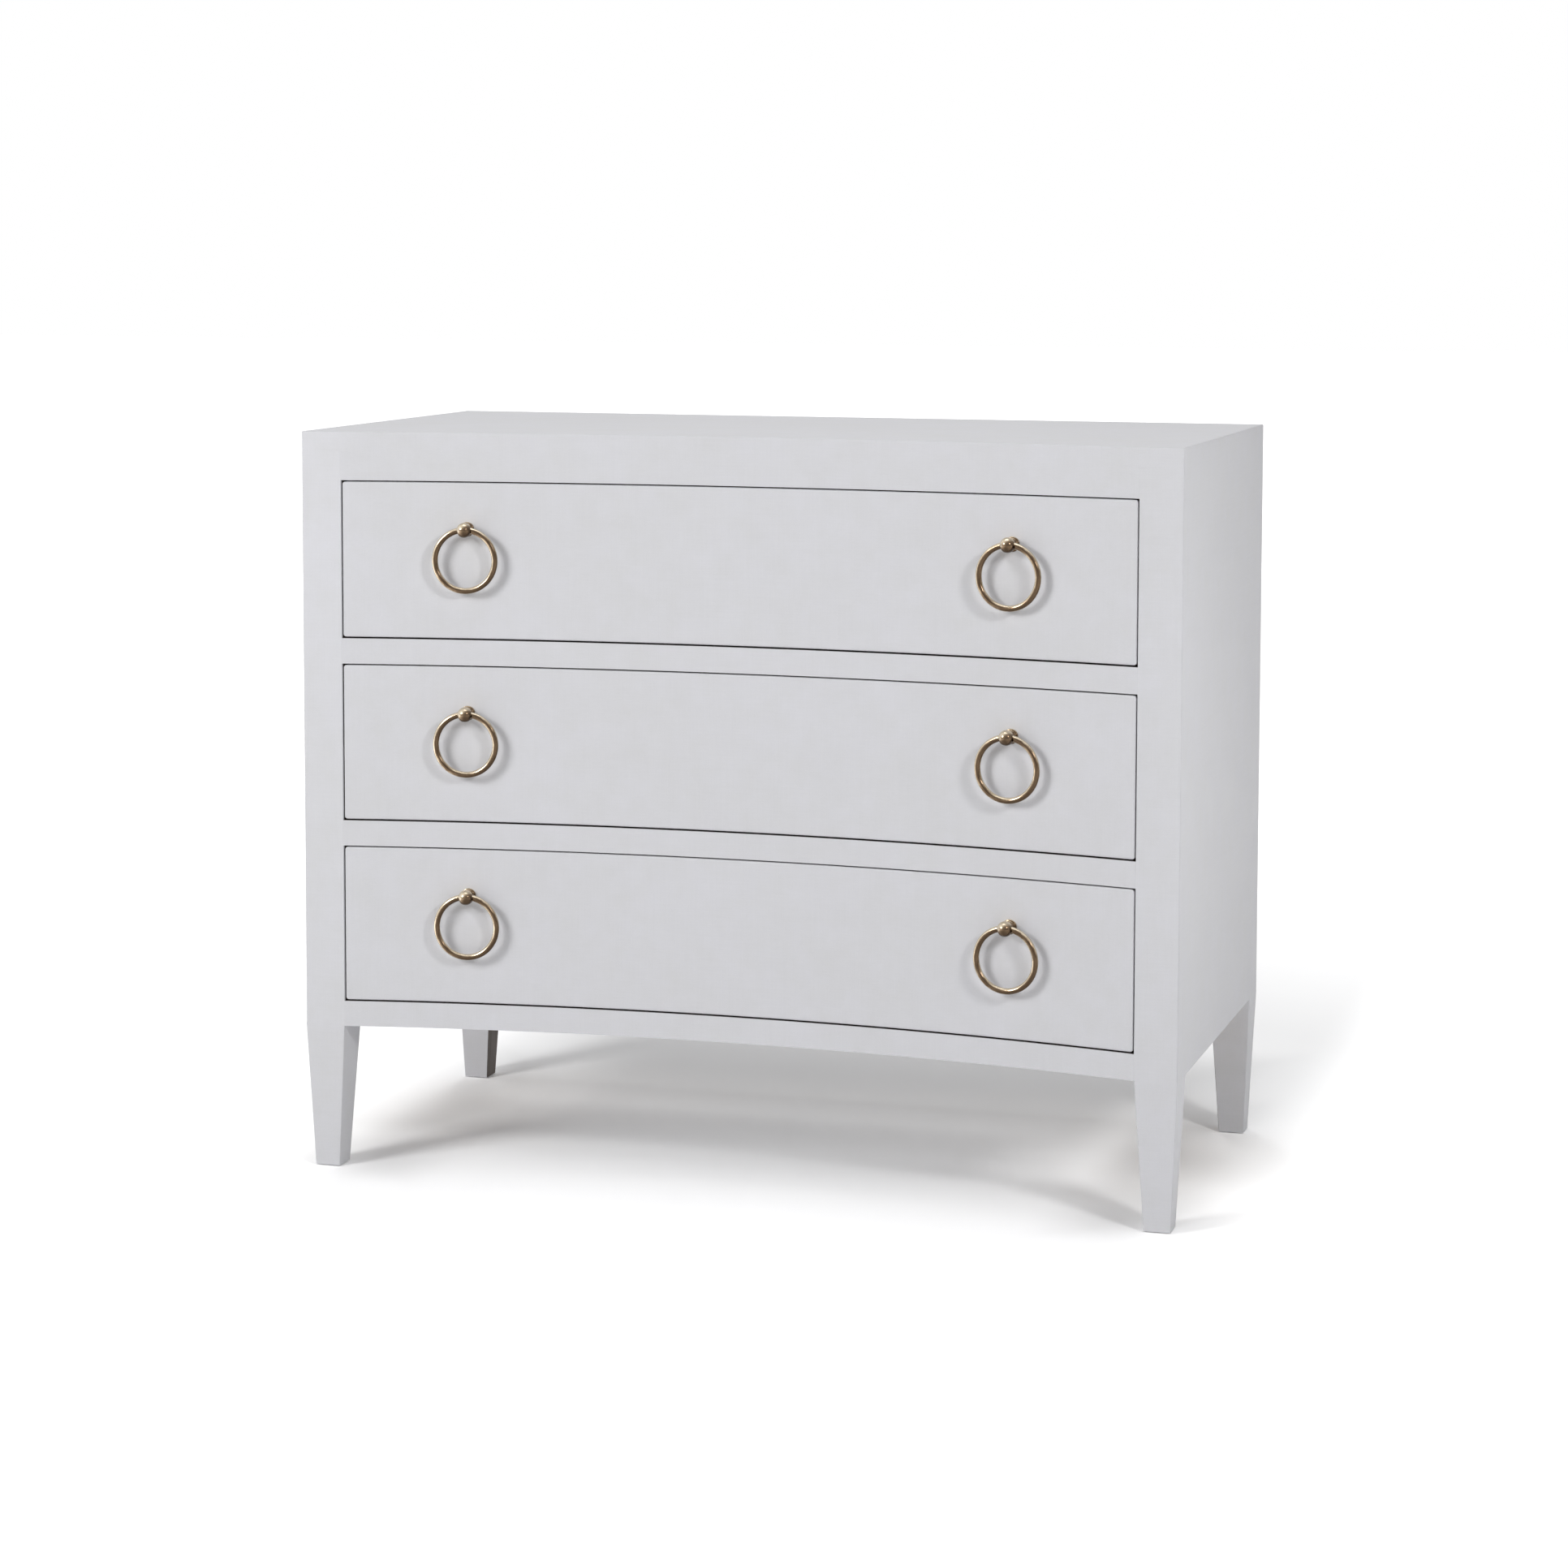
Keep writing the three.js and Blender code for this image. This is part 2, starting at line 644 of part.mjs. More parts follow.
// A drawer, placed by the bottom of its opening, with its pulls square on the curve of its front
function buildDrawer(level, base) {
  const drawer = new THREE.Group();
  drawer.position.z = base;
  for (const [piece, shape] of Object.entries(drawerShapes)) {
    add(drawer, `${level}_drawer_${piece}`, shape, piece === "front" ? lacquer : drawerWood);
  }
  for (const [sideName, side] of sides) {
    const station = new THREE.Group();
    station.position.set(0, curveCentreY, openingHeight / 2 + pullRise);
    station.rotation.z = -side * pullAngle;
    const mount = add(station, `${level}_${sideName}_pull_mount`, mountShape, agedBrass);
    const ring = add(station, `${level}_${sideName}_pull_ring`, ringShape, agedBrass);
    mount.position.y = frontRadius;
    ring.position.y = frontRadius;
    drawer.add(station);
  }
  return drawer;
}

const dresser = new THREE.Group();
dresser.position.y = centringShift;
dresser.add(buildCase());
levels.forEach((level, i) => dresser.add(buildDrawer(level, openingBase + i * openingPitch)));

export default dresser;
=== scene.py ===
"""The look of the dresser: camera, light, materials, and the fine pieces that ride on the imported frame."""
import math

import bmesh
import bpy
from mathutils import Matrix, Vector


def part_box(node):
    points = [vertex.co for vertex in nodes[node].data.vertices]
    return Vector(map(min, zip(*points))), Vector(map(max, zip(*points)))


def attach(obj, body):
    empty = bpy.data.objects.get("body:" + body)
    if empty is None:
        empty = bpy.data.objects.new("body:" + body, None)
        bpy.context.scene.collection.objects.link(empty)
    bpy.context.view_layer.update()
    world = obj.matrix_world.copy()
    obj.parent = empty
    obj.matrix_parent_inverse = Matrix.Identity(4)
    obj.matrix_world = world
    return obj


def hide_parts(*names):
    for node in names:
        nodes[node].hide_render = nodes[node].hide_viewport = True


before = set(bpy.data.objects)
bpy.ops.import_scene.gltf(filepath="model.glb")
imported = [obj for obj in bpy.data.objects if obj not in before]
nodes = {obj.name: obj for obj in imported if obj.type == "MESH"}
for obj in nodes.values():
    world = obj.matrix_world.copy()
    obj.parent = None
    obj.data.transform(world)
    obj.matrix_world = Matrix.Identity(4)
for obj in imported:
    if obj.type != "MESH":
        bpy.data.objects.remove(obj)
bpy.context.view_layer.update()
scene = bpy.context.scene

LEVELS = ("bottom", "middle", "top")
SIDES = (("left", -1), ("right", 1))

# Sizes in metres, as in the part's source
FRONT_SWEEP = 0.048
FRONT_THICKNESS = 0.022
RING_REACH = 0.0125
RING_DIAMETER = 0.076
WIRE_DIAMETER = 0.007
WIRE_RADIUS = WIRE_DIAMETER / 2
RING_RADIUS = RING_DIAMETER / 2 - WIRE_RADIUS

# How far out the pulls are, as a share of a drawer front's half width
PULL_SPREAD_SHARE = 0.69

# The circle that the front follows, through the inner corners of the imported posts
post_corner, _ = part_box("front_right_post")
FRONT_RADIUS = (post_corner.x ** 2 + FRONT_SWEEP ** 2) / (2 * FRONT_SWEEP)
CURVE_CENTRE_Y = post_corner.y + FRONT_SWEEP - FRONT_RADIUS


def add_object(name, data, matrix=Matrix()):
    """A new object in the scene, placed by a matrix."""
    obj = bpy.data.objects.new(name, data)
    obj.matrix_world = matrix
    scene.collection.objects.link(obj)
    return obj


# Camera, fitted to the photograph's edges: its place in metres, its angles in radians
CAMERA_PLACE = (1.2204, -4.0773, 1.0753)
CAMERA_YAW, CAMERA_PITCH, CAMERA_ROLL = 0.2933, 0.0817, 0.0022
SENSOR_WIDTH, FOCAL_LENGTH = 36, 84.10
SHIFT_UP = -0.16
NEAREST_SEEN, FARTHEST_SEEN = 0.1, 100


def make_camera():
    data = bpy.data.cameras.new("camera")
    data.sensor_width = SENSOR_WIDTH
    data.lens = FOCAL_LENGTH
    data.shift_y = SHIFT_UP
    data.clip_start, data.clip_end = NEAREST_SEEN, FARTHEST_SEEN
    yaw = Matrix.Rotation(CAMERA_YAW, 4, "Z")
    pitch = Matrix.Rotation(math.pi / 2 - CAMERA_PITCH, 4, "X")
    roll = Matrix.Rotation(CAMERA_ROLL, 4, "Z")
    scene.camera = add_object("camera", data, Matrix.Translation(CAMERA_PLACE) @ yaw @ pitch @ roll)


# Node helpers
class Nodes:
    """A material's node tree, with short calls for the nodes used here."""

    def __init__(self, name):
        self.material = bpy.data.materials.new(name)
        self.material.use_nodes = True
        self.tree = self.material.node_tree
        self.shader = self.tree.nodes["Principled BSDF"]
        self.output = self.tree.nodes["Material Output"]

    def put(self, value, socket):
        """Links a node's result to a socket, or sets the socket to a number, a vector or a colour."""
        if isinstance(value, bpy.types.NodeSocket):
            self.tree.links.new(value, socket)
        elif socket.type == "RGBA":
            socket.default_value = (*value, 1)
        else:
            socket.default_value = value

    def add(self, kind, inputs=None, **settings):
        """A new node with these settings, and with these inputs by name or number."""
        node = self.tree.nodes.new(kind)
        for key, value in settings.items():
            setattr(node, key, value)
        for key, value in (inputs or {}).items():
            self.put(value, node.inputs[key])
        return node

    def shade(self, inputs):
        """Puts values into the inputs of the material's shader."""
        for key, value in inputs.items():
            self.put(value, self.shader.inputs[key])

    def own_place(self):
        """A point's place in the piece's own coordinates, in metres."""
        return self.add("ShaderNodeTexCoord").outputs["Object"]

    def coordinates(self, scale=(1, 1, 1)):
        """A point's place in the piece's own coordinates, times a scale on each axis."""
        mapping = self.add("ShaderNodeMapping", {"Vector": self.own_place(), "Scale": scale})
        return mapping.outputs["Vector"]

    def split(self, vector):
        return self.add("ShaderNodeSeparateXYZ", {0: vector}).outputs

    def joined(self, *values):
        return self.add("ShaderNodeCombineXYZ", dict(enumerate(values))).outputs[0]

    def math(self, operation, *values):
        """The result of an operation on one value or two."""
        return self.add("ShaderNodeMath", dict(enumerate(values)), operation=operation).outputs[0]

    def chain(self, operation, *values):
        """The result of an operation on the first two values, then on that and the third, and so on."""
        result = values[0]
        for value in values[1:]:
            result = self.math(operation, result, value)
        return result

    def noise(self, vector, scale, detail=3, roughness=0.5):
        inputs = {"Vector": vector, "Scale": scale, "Detail": detail, "Roughness": roughness}
        return self.add("ShaderNodeTexNoise", inputs).outputs["Fac"]

    def ramp(self, factor, *stops):
        """A colour that goes through the stops, which are pairs of a factor and a colour."""
        node = self.add("ShaderNodeValToRGB", {"Fac": factor})
        elements = node.color_ramp.elements
        while len(elements) < len(stops):
            elements.new(0.5)
        for element, (position, colour) in zip(elements, stops):
            element.position = position
            element.color = (*colour, 1)
        return node.outputs["Color"]

    def tones(self, factor, colours, start=0.3, end=0.7):
        """A colour that goes from the first to the second as the factor goes from start to end."""
        return self.ramp(factor, (start, colours[0]), (end, colours[1]))

    def spread(self, factor, low, high, start=0.3, end=0.7, curve="LINEAR"):
        """A number that goes from low to high as the factor goes from start to end."""
        inputs = {"Value": factor, "From Min": start, "From Max": end, "To Min": low, "To Max": high}
        return self.add("ShaderNodeMapRange", inputs, interpolation_type=curve).outputs["Result"]

    def rise(self, value, edge, high=1):
        """A soft step up from 0 to high, where the value crosses an edge from its start to its end."""
        return self.spread(value, 0, high, *edge, "SMOOTHSTEP")

    def fall(self, value, edge, high=1):
        """A soft step down from high to 0, where the value crosses an edge from its start to its end."""
        return self.spread(value, high, 0, *edge, "SMOOTHSTEP")

    def mix(self, factor, first, second, blend="MIX"):
        inputs = {"Factor": factor, 6: first, 7: second}
        return self.add("ShaderNodeMix", inputs, data_type="RGBA", blend_type=blend).outputs[2]

    def reach(self, x, y):
        """The distance from the line where x and y are 0."""
        squares = self.math("ADD", self.math("MULTIPLY", x, x), self.math("MULTIPLY", y, y))
        return self.math("SQRT", squares)

    def ring_coordinates(self):
        """The angle round a ring that lies about the piece's own Z, and the angle round its wire."""
        x, y, z = self.split(self.own_place())
        outwards = self.math("SUBTRACT", self.reach(x, y), RING_RADIUS)
        return self.math("ARCTAN2", y, x), self.math("ARCTAN2", z, outwards)

    def depth_behind_front(self):
        """How far a point lies behind the curved front."""
        x, y, _ = self.split(self.own_place())
        from_centre = self.reach(x, self.math("SUBTRACT", y, CURVE_CENTRE_Y))
        return self.math("SUBTRACT", from_centre, FRONT_RADIUS)

    def facing(self, direction):
        """How far the surface looks along a direction of the piece itself, from -1 to 1."""
        normal = self.add("ShaderNodeTexCoord").outputs["Normal"]
        inputs = {0: normal, 1: Vector(direction).normalized()}
        return self.add("ShaderNodeVectorMath", inputs, operation="DOT_PRODUCT").outputs["Value"]

    def seen_ray(self):
        """1 for what is seen, also in a reflection or through glass, and 0 for light that falls on things."""
        path = self.add("ShaderNodeLightPath")
        rays = [path.outputs[f"Is {kind} Ray"] for kind in ("Glossy", "Transmission", "Camera")]
        return self.chain("MAXIMUM", *rays)

    def bump(self, height, strength, distance, normal=None):
        inputs = {"Height": height, "Strength": strength, "Distance": distance}
        if normal is not None:
            inputs["Normal"] = normal
        return self.add("ShaderNodeBump", inputs).outputs["Normal"]


def linear(red, green, blue):
    """A colour given as a screen shows it, from 0 to 255, as linear light."""
    values = [v / 255 for v in (red, green, blue)]
    return tuple(v / 12.92 if v < 0.04045 else ((v + 0.055) / 1.055) ** 2.4 for v in values)


def grey(value):
    return (value, value, value)


def blended(first, second, share):
    """A colour between two others."""
    return tuple(a + (b - a) * share for a, b in zip(first, second))


def grained(axis, along, across):
    """A texture's scale on X, Y and Z, where its grain runs along one of them."""
    return tuple(along if letter == axis else across for letter in "XYZ")


# Pale satin lacquer over a fine linen, whose threads only just show
LACQUER_CLOUDS = (linear(229, 229, 231), linear(232, 232, 236))
LACQUER_MOTTLES = (linear(228, 228, 230), linear(234, 234, 239))
THREADS_ALONG, THREADS_ACROSS = 18, 700

# Bare wood behind the lacquer, in the gaps round the drawers, made dark as painted shade of those gaps, and
# how deep the lacquer goes in there, which sets how much of each gap shows that painted shade
RAIL_CORE_AS_GAP_SHADE = (linear(58, 47, 40), linear(82, 68, 57))
DRAWER_CORE_AS_GAP_SHADE = (linear(104, 78, 54), linear(132, 102, 73))
DRAWER_LACQUER_DEPTH = 0.008
POST_LACQUER_DEPTH = 0.0031
RAIL_LACQUER_DEPTH = 0.0015
LACQUER_END_WIDTH = 0.0008


def lacquer_material(name="lacquer", depth=None, core=None):
    """The lacquer. With a depth, it ends that far behind the curved front and shows the core from there: wood
    made dark as painted shade of the gaps.
    """
    n = Nodes(name)
    cloudy = n.noise(n.coordinates(), scale=6, roughness=0.55)
    mottled = n.noise(n.coordinates(), scale=34, roughness=0.55)
    threads = []
    for axis in "XYZ":
        place = n.coordinates(grained(axis, THREADS_ALONG, THREADS_ACROSS))
        threads.append(n.noise(place, scale=1, detail=2, roughness=0.55))
    weave = n.chain("ADD", *threads)
    base = n.tones(cloudy, LACQUER_CLOUDS)
    base = n.mix(0.4, base, n.tones(mottled, LACQUER_MOTTLES, start=0.32, end=0.68))
    tint = n.spread(weave, 0.975, 1, start=1.15, end=1.85)
    colour = n.mix(1.0, base, tint, "MULTIPLY")
    # Painted shade in the gaps: past the depth, the lacquer gives way to dark wood
    if depth is not None:
        gap_shade_wood = n.tones(threads[0], core)
        gap_shade_share = n.spread(n.depth_behind_front(), 0, 1, depth, depth + LACQUER_END_WIDTH)
        colour = n.mix(gap_shade_share, colour, gap_shade_wood)
    mottled_normal = n.bump(mottled, strength=0.06, distance=0.0004)
    n.shade({
        "Base Color": colour,
        "Roughness": n.spread(mottled, 0.46, 0.54),
        "Normal": n.bump(weave, strength=0.08, distance=0.0002, normal=mottled_normal),
        "Specular IOR Level": 0.2,
        "Coat Weight": 0.04,
        "Coat Roughness": 0.35,
    })
    return n.material


# Thin board with a dry coat of the same paint
BOARD_CLOUDS = (linear(202, 202, 204), linear(216, 216, 219))


def painted_board_material():
    n = Nodes("painted_board")
    cloudy = n.noise(n.coordinates(), scale=7, detail=5, roughness=0.6)
    brushed = n.noise(n.coordinates(grained("Z", along=9, across=260)), scale=1)
    strokes = n.spread(brushed, 0.93, 1, start=0.35, end=0.65)
    n.shade({
        "Base Color": n.mix(1.0, n.tones(cloudy, BOARD_CLOUDS), strokes, "MULTIPLY"),
        "Roughness": n.spread(brushed, 0.58, 0.72),
        "Normal": n.bump(brushed, strength=0.3, distance=0.0003),
    })
    return n.material


# Solid woods, each as a pale and a dark tone
BIRCH = (linear(222, 196, 158), linear(184, 146, 102))
OAK = (linear(202, 168, 122), linear(150, 112, 72))
# Bare wood made dark as painted shade, for the inward faces of the rear legs
DARK_WOOD_AS_SHADE = (linear(117, 109, 104), linear(96, 88, 82))
PORES = ((0.82, 0.79, 0.75), grey(1))


def wood_material(name, tones, axis, roughness):
    """Wood with its grain along X, Y or Z."""
    pale, dark = tones
    n = Nodes(name)
    stretched = n.coordinates(grained(axis, along=0.06, across=1))
    inputs = {"Vector": stretched, "Scale": 14, "Distortion": 9, "Detail": 3, "Detail Scale": 1.4}
    rings = n.add("ShaderNodeTexWave", inputs, wave_type="RINGS", rings_direction=axis, wave_profile="SAW")
    grain = n.ramp(rings.outputs["Fac"], (0, pale), (0.75, blended(pale, dark, 0.45)), (1, dark))
    cloud = n.tones(n.noise(stretched, scale=9), (pale, blended(pale, dark, 0.5)), end=0.75)
    pores = n.noise(n.coordinates(grained(axis, along=9, across=420)), scale=1, roughness=0.6)
    specks = n.tones(pores, PORES, end=0.55)
    n.shade({
        "Base Color": n.mix(0.6, n.mix(0.5, grain, cloud), specks, "MULTIPLY"),
        "Roughness": n.spread(pores, roughness + 0.08, roughness - 0.06),
        "Normal": n.bump(pores, strength=0.35, distance=0.0003),
    })
    return n.material


# Brass with a painted reflection: darkened to brown on the sides that look along some directions and pale on
# the others, with rubbed streaks and patches of its own
BRASS_DARK_REFLECTION = (0.082, 0.052, 0.029)
BRASS_MIDDLE = (0.228, 0.160, 0.101)
BRASS_PALE_REFLECTION = (0.80, 0.70, 0.54)
BRASS_STREAKS = ((0.78, 0.75, 0.71), grey(1))
# The directions whose sides take the painted dark reflection, in each piece's own axes
RING_PAINTED_DARK_SIDES = ((0.45, -0.24, 0.86), (0.45, 0.24, -0.86))
BALL_PAINTED_DARK_SIDES = ((0.60, -0.52, 0.60),)


def brass_material(name, painted_dark_sides, painted_dark_edge, streaks_around, streaks_across):
    """The brass of a turned piece, with a painted reflection: brown where it looks far enough along one of
    the directions, and pale elsewhere.
    """
    n = Nodes(name)
    patches = n.noise(n.coordinates(), scale=110, detail=4, roughness=0.6)
    fine = n.noise(n.coordinates(), scale=900, detail=2)
    around, across = n.ring_coordinates()
    along_streaks = n.joined(
        n.math("MULTIPLY", around, streaks_around),
        n.math("MULTIPLY", across, streaks_across),
    )
    streaks = n.noise(along_streaks, scale=1.6, roughness=0.6)
    facing = n.chain("MAXIMUM", *[n.facing(side) for side in painted_dark_sides])
    uneven = n.chain("ADD", facing, n.spread(patches, -0.07, 0.07), n.spread(streaks, -0.12, 0.12))
    # Painted reflection: brown towards the given directions, pale away from them
    painted_dark = n.rise(uneven, painted_dark_edge)
    base = n.ramp(painted_dark, (0, BRASS_PALE_REFLECTION), (0.5, BRASS_MIDDLE), (1, BRASS_DARK_REFLECTION))
    rubbed = n.tones(streaks, BRASS_STREAKS, start=0.36, end=0.60)
    n.shade({
        "Base Color": n.mix(1.0, base, rubbed, "MULTIPLY"),
        "Metallic": 1,
        "Roughness": n.spread(patches, 0.24, 0.17),
        "Normal": n.bump(fine, strength=0.05, distance=0.00005),
        "Coat Weight": 0.2,
        "Coat Roughness": 0.12,
    })
    return n.material


# Screws and glides
STEEL_PATCHES = ((0.42, 0.42, 0.43), (0.56, 0.56, 0.57))
NYLON_PATCHES = (linear(58, 54, 52), linear(74, 69, 66))


def steel_material():
    n = Nodes("screw_steel")
    patches = n.noise(n.coordinates(), scale=300, roughness=0.6)
    n.shade({
        "Base Color": n.tones(patches, STEEL_PATCHES),
        "Metallic": 1,
        "Roughness": n.spread(patches, 0.28, 0.42),
    })
    return n.material


def nylon_material():
    n = Nodes("glide_nylon")
    patches = n.noise(n.coordinates(), scale=400, roughness=0.6)
    n.shade({
        "Base Color": n.tones(patches, NYLON_PATCHES),
        "Roughness": n.spread(patches, 0.45, 0.6),
        "Normal": n.bump(patches, strength=0.2, distance=0.0001),
    })
    return n.material


LACQUER = lacquer_material()
# Lacquers that end in dark wood, as painted shade in the gaps round the drawers
DRAWER_EDGE_GAP_SHADE = lacquer_material("drawer_edge_gap_shade", DRAWER_LACQUER_DEPTH, DRAWER_CORE_AS_GAP_SHADE)
POST_EDGE_GAP_SHADE = lacquer_material("post_edge_gap_shade", POST_LACQUER_DEPTH, RAIL_CORE_AS_GAP_SHADE)
RAIL_EDGE_GAP_SHADE = lacquer_material("rail_edge_gap_shade", RAIL_LACQUER_DEPTH, RAIL_CORE_AS_GAP_SHADE)
BOARD = painted_board_material()
BIRCH_X = wood_material("birch_along_x", BIRCH, "X", roughness=0.5)
BIRCH_Y = wood_material("birch_along_y", BIRCH, "Y", roughness=0.5)
OAK_X = wood_material("oak_along_x", OAK, "X", roughness=0.6)
OAK_Y = wood_material("oak_along_y", OAK, "Y", roughness=0.6)
DARK_WOOD_AS_LEG_SHADE = wood_material("dark_wood_as_leg_shade", DARK_WOOD_AS_SHADE, "Z", roughness=0.6)
# The rings and balls carry a painted reflection, brown on some sides and pale on the others
RING_BRASS = brass_material(
    "aged_brass_wire_painted_reflection", RING_PAINTED_DARK_SIDES, painted_dark_edge=(0.50, 0.90), streaks_around=1.1, streaks_across=4.5)
MOUNT_BRASS = brass_material(
    "aged_brass_ball_painted_reflection", BALL_PAINTED_DARK_SIDES, painted_dark_edge=(-0.05, 0.85), streaks_around=0.6, streaks_across=1.2)
STEEL = steel_material()
NYLON = nylon_material()


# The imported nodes: materials, and smooth shading over their fine facets
FACET_ANGLE = 50
WELD_DISTANCE = 1e-6

# The legs end at the height of the bottom rail's underside
LEG_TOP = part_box("front_bottom_rail")[0].z

# How squarely a face looks along an axis, to be picked
LOOKS_THERE, LOOKS_SQUARELY = 0.7, 0.9


def dress(name, material, *others):
    """Gives a node its material, and other ones to the faces that a test picks out."""
    obj = nodes[name]
    mesh = obj.data
    mesh.materials.clear()
    for each in (material, *(other for other, _ in others)):
        mesh.materials.append(each)
    for polygon in mesh.polygons:
        picked = [index for index, (_, test) in enumerate(others, 1) if test(polygon)]
        polygon.material_index = picked[0] if picked else 0
    smooth_facets(obj)


def smooth_facets(obj):
    """Smooth shading over the edges that are blunter than the facet angle."""
    mesh = obj.data
    if mesh.attributes.get("custom_normal"):
        mesh.attributes.remove(mesh.attributes["custom_normal"])
    mesh.polygons.foreach_set("use_smooth", [True] * len(mesh.polygons))
    weld = obj.modifiers.new("weld", "WELD")
    weld.merge_threshold = WELD_DISTANCE
    split = obj.modifiers.new("split", "EDGE_SPLIT")
    split.split_angle = math.radians(FACET_ANGLE)
    weighted = obj.modifiers.new("weighted", "WEIGHTED_NORMAL")
    weighted.keep_sharp = True


def behind_front(polygon):
    """True for the faces of a curved front piece that look back into the case."""
    return polygon.normal.y > LOOKS_THERE


def at_a_gap(polygon):
    """True for the top, bottom and end faces of a drawer front."""
    return abs(polygon.normal.z) > LOOKS_THERE or abs(polygon.normal.x) > LOOKS_SQUARELY


def looks_up(polygon):
    return polygon.normal.z > LOOKS_THERE


def looks_down(polygon):
    return polygon.normal.z < -LOOKS_THERE


def inner_face(side, of_leg):
    """A test for the faces of a left or right post that look to the middle, of its leg or above that."""
    def test(polygon):
        return polygon.normal.x * side < -LOOKS_SQUARELY and (polygon.center.z < LEG_TOP) == of_leg
    return test


# The faces at the gaps take the lacquer that ends in painted shade
for level in LEVELS:
    dress(f"{level}_drawer_front", LACQUER, (BIRCH_X, behind_front), (DRAWER_EDGE_GAP_SHADE, at_a_gap))
    dress(f"{level}_drawer_back", BIRCH_X)
    dress(f"{level}_drawer_bottom", BIRCH_X)
    for side, _ in SIDES:
        dress(f"{level}_drawer_{side}_side", BIRCH_Y)
        dress(f"{level}_{side}_runner", OAK_Y)
dress("front_bottom_rail", LACQUER, (OAK_X, behind_front), (RAIL_EDGE_GAP_SHADE, looks_up))
dress("front_top_rail", LACQUER, (OAK_X, behind_front))
for name in ("lower_divider_rail", "upper_divider_rail"):
    dress(name, LACQUER, (OAK_X, behind_front), (RAIL_EDGE_GAP_SHADE, looks_up), (RAIL_EDGE_GAP_SHADE, looks_down))
for name in ("rear_bottom_rail", "rear_top_rail"):
    dress(name, OAK_X)
dress("top_panel", LACQUER)
dress("back_panel", BOARD)
dress("dust_panel", BOARD)
for side, sign in SIDES:
    dress(f"{side}_side_panel", LACQUER)
    dress(f"{side}_kicker", OAK_Y)
    dress(f"front_{side}_post", LACQUER, (POST_EDGE_GAP_SHADE, inner_face(sign, of_leg=False)))
    # The rear legs' inward faces are dark wood, as painted shade there
    dress(f"rear_{side}_post", LACQUER, (DARK_WOOD_AS_LEG_SHADE, inner_face(sign, of_leg=True)))
    for end in ("front", "rear"):
        dress(f"{end}_{side}_glide", NYLON)


# Mesh helpers for the fine pieces
SHARP_ANGLE = 32


def evenly(low, high, count):
    """Evenly spaced values from low to high, with both of them."""
    return [low + (high - low) * i / (count - 1) for i in range(count)]


def round_turn(count):
    """The angles of as many even steps round a full turn."""
    return evenly(0, 2 * math.pi, count + 1)[:-1]


def to_mesh(shape, name):
    """The mesh of a bmesh, which is let go."""
    mesh = bpy.data.meshes.new(name)
    shape.to_mesh(mesh)
    shape.free()
    return mesh


def finished(mesh, material):
    """The mesh with one material, and smooth but for its sharp edges."""
    mesh.materials.clear()
    mesh.materials.append(material)
    mesh.polygons.foreach_set("use_smooth", [True] * len(mesh.polygons))
    mesh.set_sharp_from_angle(angle=math.radians(SHARP_ANGLE))
    return mesh


def rounded(centre, radius, start, end, steps):
    """Points of an arc in a turned profile, from one angle to another in degrees."""
    angles = [math.radians(angle) for angle in evenly(start, end, steps + 1)]
    return [(centre[0] + radius * math.cos(a), centre[1] + radius * math.sin(a)) for a in angles]


def turned(name, profile, steps):
    """A mesh turned about Z from (radius, height) pairs, which start and end on the axis."""
    shape = bmesh.new()
    rows = []
    for radius, height in profile:
        angles = round_turn(steps) if radius else [0]
        rows.append([shape.verts.new((radius * math.cos(a), radius * math.sin(a), height)) for a in angles])
    for low, high in zip(rows, rows[1:]):
        for i in range(steps):
            j = (i + 1) % steps
            corners = [low[i % len(low)], low[j % len(low)], high[j % len(high)], high[i % len(high)]]
            shape.faces.new(list(dict.fromkeys(corners)))
    bmesh.ops.recalc_face_normals(shape, faces=shape.faces)
    return to_mesh(shape, name)


def cut_away(mesh, tools):
    """The mesh without the room that the tools take up. The tools are used up."""
    body = add_object("body", mesh)
    for tool in tools:
        cut = body.modifiers.new("cut", "BOOLEAN")
        cut.operation = "DIFFERENCE"
        cut.solver = "EXACT"
        cut.object = tool
    bpy.context.view_layer.update()
    result = bpy.data.meshes.new_from_object(body.evaluated_get(bpy.context.evaluated_depsgraph_get()))
    for obj in (body, *tools):
        bpy.data.objects.remove(obj)
    return result


# A pull's mount: flange, cove, bead, neck, and a ball with a cross hole. Its Z runs out of the drawer front.
SEAT_GAP = 0.0003
SEAT_RADIUS = 0.0080
FLANGE_RADIUS = 0.0084
FLANGE_THICKNESS = 0.0023
LOWER_EASE, UPPER_EASE = 0.0006, 0.0011
COVE_RADIUS = 0.0010
BEAD_RADIUS, BEAD_STANDS_OUT, BEAD_HEIGHT = 0.0006, 0.0004, 0.0062
NECK_RADIUS, NECK_HEIGHT = 0.0060, 0.0074
BALL_RADIUS, BALL_REACH = 0.0085, 0.0155
MOUNT_STEPS = 96

# The cross hole, wider towards its ends, where the ring bends away
HOLE_RADIUS = 0.0049
HOLE_FLARE = 0.003
FLARE_START, DRILL_END = 0.0068, 0.012
DRILL_STEPS = 64


